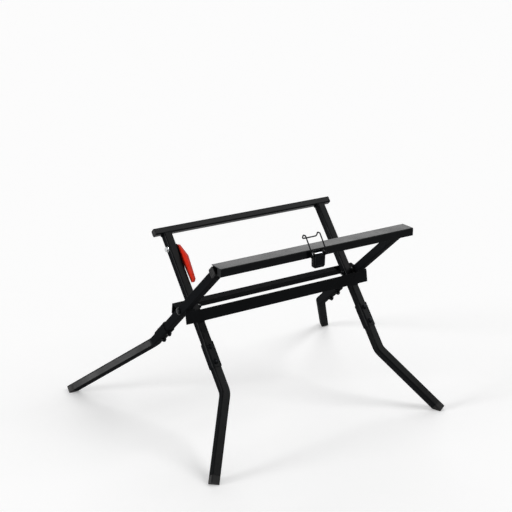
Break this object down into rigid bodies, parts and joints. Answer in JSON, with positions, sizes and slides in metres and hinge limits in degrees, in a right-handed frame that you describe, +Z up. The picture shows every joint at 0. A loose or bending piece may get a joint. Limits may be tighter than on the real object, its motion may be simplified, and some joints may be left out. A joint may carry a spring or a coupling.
{
  "type": "folding saw stand",
  "caption": "Folding scissor stand of black square tube with splayed feet, cross rails that carry a bench machine, a red release lever and a wire latch.",
  "frame": {"origin": "centre of the footprint, on the floor", "axes": "+X to the right along the rails, +Y to the rear, +Z up"},
  "size_m": [0.973, 0.7248, 0.5881],
  "materials": {
    "coated_steel": "semi-gloss black powder coat",
    "black_steel": "black plated steel",
    "zinc_steel": "bright zinc plate",
    "black_plastic": "fine-grained black plastic",
    "red_plastic": "moulded orange-red plastic"
  },
  "bodies": {
    "inner_frame": {"front_bar": "coated_steel", "front_foot_left": "black_plastic", "front_foot_right": "black_plastic", "front_lower_leg_left": "coated_steel", "front_lower_leg_right": "coated_steel", "front_sleeve_bolt_left_lower": "black_steel", "front_sleeve_bolt_left_upper": "black_steel", "front_sleeve_bolt_right_lower": "black_steel", "front_sleeve_bolt_right_upper": "black_steel", "front_sleeve_left": "coated_steel", "front_sleeve_nut_left_lower": "black_steel", "front_sleeve_nut_left_upper": "black_steel", "front_sleeve_nut_right_lower": "black_steel", "front_sleeve_nut_right_upper": "black_steel", "front_sleeve_right": "coated_steel", "inner_leg_left": "coated_steel", "inner_leg_right": "coated_steel", "lever_bolt": "zinc_steel", "lever_nut": "black_steel", "pivot_bolt_left": "black_steel", "pivot_bolt_right": "black_steel", "pivot_nut_left": "black_steel", "pivot_nut_right": "black_steel", "pivot_spacer_left": "black_plastic", "pivot_spacer_right": "black_plastic", "rear_rail": "coated_steel", "rear_rail_plug_left": "black_plastic", "rear_rail_plug_right": "black_plastic"},
    "outer_frame": {"front_rail": "coated_steel", "front_tube": "coated_steel", "front_tube_plug_left": "black_plastic", "front_tube_plug_right": "black_plastic", "latch_base": "black_steel", "latch_pin": "zinc_steel", "outer_leg_left": "coated_steel", "outer_leg_right": "coated_steel", "rear_bar": "coated_steel", "rear_foot_left": "black_plastic", "rear_foot_right": "black_plastic", "rear_lower_leg_left": "coated_steel", "rear_lower_leg_right": "coated_steel", "rear_sleeve_bolt_left_lower": "black_steel", "rear_sleeve_bolt_left_upper": "black_steel", "rear_sleeve_bolt_right_lower": "black_steel", "rear_sleeve_bolt_right_upper": "black_steel", "rear_sleeve_left": "coated_steel", "rear_sleeve_nut_left_lower": "black_steel", "rear_sleeve_nut_left_upper": "black_steel", "rear_sleeve_nut_right_lower": "black_steel", "rear_sleeve_nut_right_upper": "black_steel", "rear_sleeve_right": "coated_steel"},
    "release_lever": {"release_lever": "red_plastic", "lock_hook": "coated_steel", "hook_rivet": "zinc_steel"},
    "latch_handle": {"latch_handle": "black_steel"},
    "latch_bail": {"latch_bail": "black_steel"}
  },
  "joints": [
    {"name": "fold", "type": "hinge", "parent": "inner_frame", "child": "outer_frame", "pos_m": [0, -0.04367, 0.3585], "axis": [-1, 0, 0], "range_deg": [0, 81.5]},
    {"name": "lever_turn", "type": "hinge", "parent": "inner_frame", "child": "release_lever", "pos_m": [-0.246, 0.07373, 0.49625], "axis": [-1, 0, 0], "range_deg": [0, 4]},
    {"name": "handle_swing", "type": "hinge", "parent": "outer_frame", "child": "latch_handle", "pos_m": [-0.0195, -0.28275, 0.541], "axis": [-1, 0, 0], "range_deg": [0, 130]},
    {"name": "bail_swing", "type": "hinge", "parent": "latch_handle", "child": "latch_bail", "pos_m": [-0.0195, -0.28275, 0.531], "axis": [1, 0, 0], "range_deg": [0, 130]}
  ],
  "couplings": [
    {"joint": "bail_swing", "follows": "handle_swing", "ratio": 1}
  ]
}
